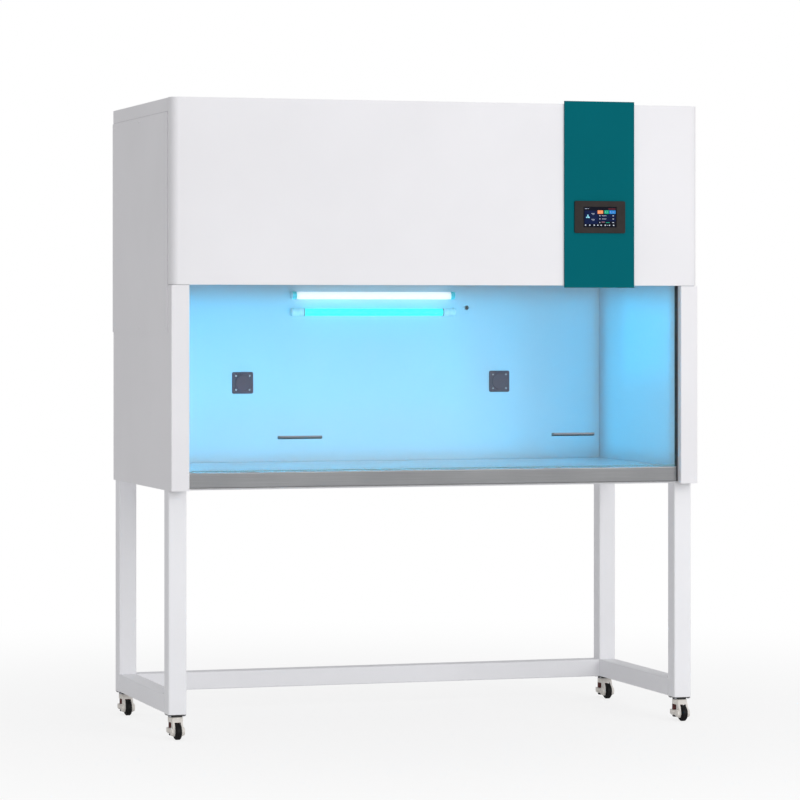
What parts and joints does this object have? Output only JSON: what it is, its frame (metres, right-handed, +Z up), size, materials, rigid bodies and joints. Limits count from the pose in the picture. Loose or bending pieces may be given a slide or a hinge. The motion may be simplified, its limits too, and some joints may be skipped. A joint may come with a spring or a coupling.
{
  "type": "laminar flow hood",
  "caption": "Vertical laminar flow hood with a sliding glass sash, UV and LED lamps, sockets and a display strip, on a tube stand with levelling casters.",
  "frame": {"origin": "on the floor, under the centre of the cabinet's footprint", "axes": "+Z up, +X to the user's right, the open front faces -Y"},
  "size_m": [1.504, 0.712, 1.718],
  "materials": {
    "cabinet_paint": "satin powder coat",
    "stand_paint": "satin powder coat",
    "strip_teal": "satin",
    "bezel_grey": "fine texture",
    "screen": "polished, backlit",
    "stainless": "brushed",
    "liner": "fine satin",
    "sash_glass": "polished",
    "guide_black": "black anodised",
    "aluminium": "mill finish",
    "caster_body": "cast, painted cream",
    "dark_steel": "satin",
    "nylon_black": "moulded",
    "thumbwheel_red": "moulded",
    "rubber_black": "moulded",
    "zinc": "galvanised",
    "filter_paper": "pleated glass-fibre paper",
    "prefilter_fibre": "non-woven pad",
    "lamp_white": "frosted, lit",
    "lamp_blue": "clear, lit",
    "white_plastic": "moulded",
    "socket_grey": "moulded",
    "belt_black": "flat belt"
  },
  "bodies": {
    "cabinet": {"top_frame": "stand_paint", "rear_rail": "stand_paint", "side_rails": "stand_paint", "side_panel_left": "cabinet_paint", "side_panel_right": "cabinet_paint", "side_covers": "cabinet_paint", "back_panel": "cabinet_paint", "roof_panel": "cabinet_paint", "front_panel": "cabinet_paint", "control_cover": "strip_teal", "display_bezel": "bezel_grey", "display_screen": "screen", "worktop": "stainless", "inner_back_wall": "liner", "inner_side_left": "liner", "inner_side_right": "liner", "sash_guide_left": "guide_black", "sash_guide_right": "guide_black", "sash_belts": "belt_black", "belt_brackets": "zinc", "plenum": "zinc", "hepa_filter": "filter_paper", "diffuser_screen": "stainless", "fan_motor": "dark_steel", "prefilter": "prefilter_fibre", "led_tube": "lamp_white", "uv_tube": "lamp_blue", "lamp_holders": "white_plastic", "socket_bodies": "socket_grey", "power_inlet": "nylon_black", "caster_plates": "dark_steel", "leg_front_left": "stand_paint", "leg_front_right": "stand_paint", "leg_rear_left": "stand_paint", "leg_rear_right": "stand_paint"},
    "sash": {"sash_glass": "sash_glass", "sash_handles": "aluminium", "sash_clamps": "aluminium"},
    "counterweight": {"counterweight": "dark_steel"},
    "belt_shaft_upper": {"belt_shaft_upper": "zinc"},
    "belt_shaft_lower": {"belt_shaft_lower": "zinc"},
    "fan_rotor": {"fan_impeller": "aluminium"},
    "socket_lid_left": {"socket_lid_left": "socket_grey"},
    "socket_lid_right": {"socket_lid_right": "socket_grey"},
    "caster_front_left": {"caster_yoke_front_left": "caster_body"},
    "wheel_front_left": {"caster_wheel_front_left": "nylon_black"},
    "thumbwheel_front_left": {"caster_thumbwheel_front_left": "thumbwheel_red"},
    "levelling_foot_front_left": {"caster_foot_front_left": "rubber_black"},
    "caster_front_right": {"caster_yoke_front_right": "caster_body"},
    "wheel_front_right": {"caster_wheel_front_right": "nylon_black"},
    "thumbwheel_front_right": {"caster_thumbwheel_front_right": "thumbwheel_red"},
    "levelling_foot_front_right": {"caster_foot_front_right": "rubber_black"},
    "caster_rear_left": {"caster_yoke_rear_left": "caster_body"},
    "wheel_rear_left": {"caster_wheel_rear_left": "nylon_black"},
    "thumbwheel_rear_left": {"caster_thumbwheel_rear_left": "thumbwheel_red"},
    "levelling_foot_rear_left": {"caster_foot_rear_left": "rubber_black"},
    "caster_rear_right": {"caster_yoke_rear_right": "caster_body"},
    "wheel_rear_right": {"caster_wheel_rear_right": "nylon_black"},
    "thumbwheel_rear_right": {"caster_thumbwheel_rear_right": "thumbwheel_red"},
    "levelling_foot_rear_right": {"caster_foot_rear_right": "rubber_black"}
  },
  "joints": [
    {"name": "sash_slide", "type": "slide", "parent": "cabinet", "child": "sash", "axis": [0, 0, 1], "range_m": [0, 0.3995]},
    {"name": "counterweight_slide", "type": "slide", "parent": "cabinet", "child": "counterweight", "axis": [0, 0, -1], "range_m": [0, 0.3995]},
    {"name": "upper_belt_shaft_turn", "type": "hinge", "parent": "cabinet", "child": "belt_shaft_upper", "pos_m": [0, -0.29, 1.68], "axis": [-1, 0, 0], "range_deg": [0, 1234.94]},
    {"name": "lower_belt_shaft_turn", "type": "hinge", "parent": "cabinet", "child": "belt_shaft_lower", "pos_m": [0, -0.29, 1.264], "axis": [-1, 0, 0], "range_deg": [0, 1234.94]},
    {"name": "fan_spin", "type": "hinge", "parent": "cabinet", "child": "fan_rotor", "pos_m": [0, 0.047, 1.46], "axis": [0, 0, 1], "continuous": true},
    {"name": "socket_lid_left_hinge", "type": "hinge", "parent": "cabinet", "child": "socket_lid_left", "pos_m": [-0.387, 0.2821, 0.965], "axis": [-1, 0, 0], "range_deg": [0, 95], "stiffness_Nm_per_rad": 0.02, "springref_deg": -17.19},
    {"name": "socket_lid_right_hinge", "type": "hinge", "parent": "cabinet", "child": "socket_lid_right", "pos_m": [0.387, 0.2821, 0.965], "axis": [-1, 0, 0], "range_deg": [0, 95], "stiffness_Nm_per_rad": 0.02, "springref_deg": -17.19},
    {"name": "caster_swivel_front_left", "type": "hinge", "parent": "cabinet", "child": "caster_front_left", "pos_m": [-0.7226, -0.2826, 0.055], "axis": [0, 0, 1], "continuous": true},
    {"name": "wheel_spin_front_left", "type": "hinge", "parent": "caster_front_left", "child": "wheel_front_left", "pos_m": [-0.7226, -0.3066, 0.022], "axis": [1, 0, 0], "continuous": true},
    {"name": "thumbwheel_turn_front_left", "type": "hinge", "parent": "caster_front_left", "child": "thumbwheel_front_left", "pos_m": [-0.7226, -0.2686, 0.0365], "axis": [0, 0, 1], "range_deg": [0, 2882]},
    {"name": "levelling_foot_slide_front_left", "type": "slide", "parent": "caster_front_left", "child": "levelling_foot_front_left", "axis": [0, 0, -1], "range_m": [0, 0.012]},
    {"name": "caster_swivel_front_right", "type": "hinge", "parent": "cabinet", "child": "caster_front_right", "pos_m": [0.7226, -0.2826, 0.055], "axis": [0, 0, 1], "continuous": true},
    {"name": "wheel_spin_front_right", "type": "hinge", "parent": "caster_front_right", "child": "wheel_front_right", "pos_m": [0.7226, -0.3066, 0.022], "axis": [1, 0, 0], "continuous": true},
    {"name": "thumbwheel_turn_front_right", "type": "hinge", "parent": "caster_front_right", "child": "thumbwheel_front_right", "pos_m": [0.7226, -0.2686, 0.0365], "axis": [0, 0, 1], "range_deg": [0, 2882]},
    {"name": "levelling_foot_slide_front_right", "type": "slide", "parent": "caster_front_right", "child": "levelling_foot_front_right", "axis": [0, 0, -1], "range_m": [0, 0.012]},
    {"name": "caster_swivel_rear_left", "type": "hinge", "parent": "cabinet", "child": "caster_rear_left", "pos_m": [-0.7226, 0.3097, 0.055], "axis": [0, 0, 1], "continuous": true},
    {"name": "wheel_spin_rear_left", "type": "hinge", "parent": "caster_rear_left", "child": "wheel_rear_left", "pos_m": [-0.7226, 0.2857, 0.022], "axis": [1, 0, 0], "continuous": true},
    {"name": "thumbwheel_turn_rear_left", "type": "hinge", "parent": "caster_rear_left", "child": "thumbwheel_rear_left", "pos_m": [-0.7226, 0.3237, 0.0365], "axis": [0, 0, 1], "range_deg": [0, 2882]},
    {"name": "levelling_foot_slide_rear_left", "type": "slide", "parent": "caster_rear_left", "child": "levelling_foot_rear_left", "axis": [0, 0, -1], "range_m": [0, 0.012]},
    {"name": "caster_swivel_rear_right", "type": "hinge", "parent": "cabinet", "child": "caster_rear_right", "pos_m": [0.7226, 0.3097, 0.055], "axis": [0, 0, 1], "continuous": true},
    {"name": "wheel_spin_rear_right", "type": "hinge", "parent": "caster_rear_right", "child": "wheel_rear_right", "pos_m": [0.7226, 0.2857, 0.022], "axis": [1, 0, 0], "continuous": true},
    {"name": "thumbwheel_turn_rear_right", "type": "hinge", "parent": "caster_rear_right", "child": "thumbwheel_rear_right", "pos_m": [0.7226, 0.3237, 0.0365], "axis": [0, 0, 1], "range_deg": [0, 2882]},
    {"name": "levelling_foot_slide_rear_right", "type": "slide", "parent": "caster_rear_right", "child": "levelling_foot_rear_right", "axis": [0, 0, -1], "range_m": [0, 0.012]}
  ],
  "couplings": [
    {"joint": "counterweight_slide", "follows": "sash_slide", "ratio": 1},
    {"joint": "upper_belt_shaft_turn", "follows": "sash_slide", "rad_per_m": 53.908},
    {"joint": "lower_belt_shaft_turn", "follows": "sash_slide", "rad_per_m": 53.908},
    {"joint": "thumbwheel_turn_front_left", "follows": "levelling_foot_slide_front_left", "rad_per_m": 4188.8},
    {"joint": "thumbwheel_turn_front_right", "follows": "levelling_foot_slide_front_right", "rad_per_m": 4188.8},
    {"joint": "thumbwheel_turn_rear_left", "follows": "levelling_foot_slide_rear_left", "rad_per_m": 4188.8},
    {"joint": "thumbwheel_turn_rear_right", "follows": "levelling_foot_slide_rear_right", "rad_per_m": 4188.8}
  ]
}
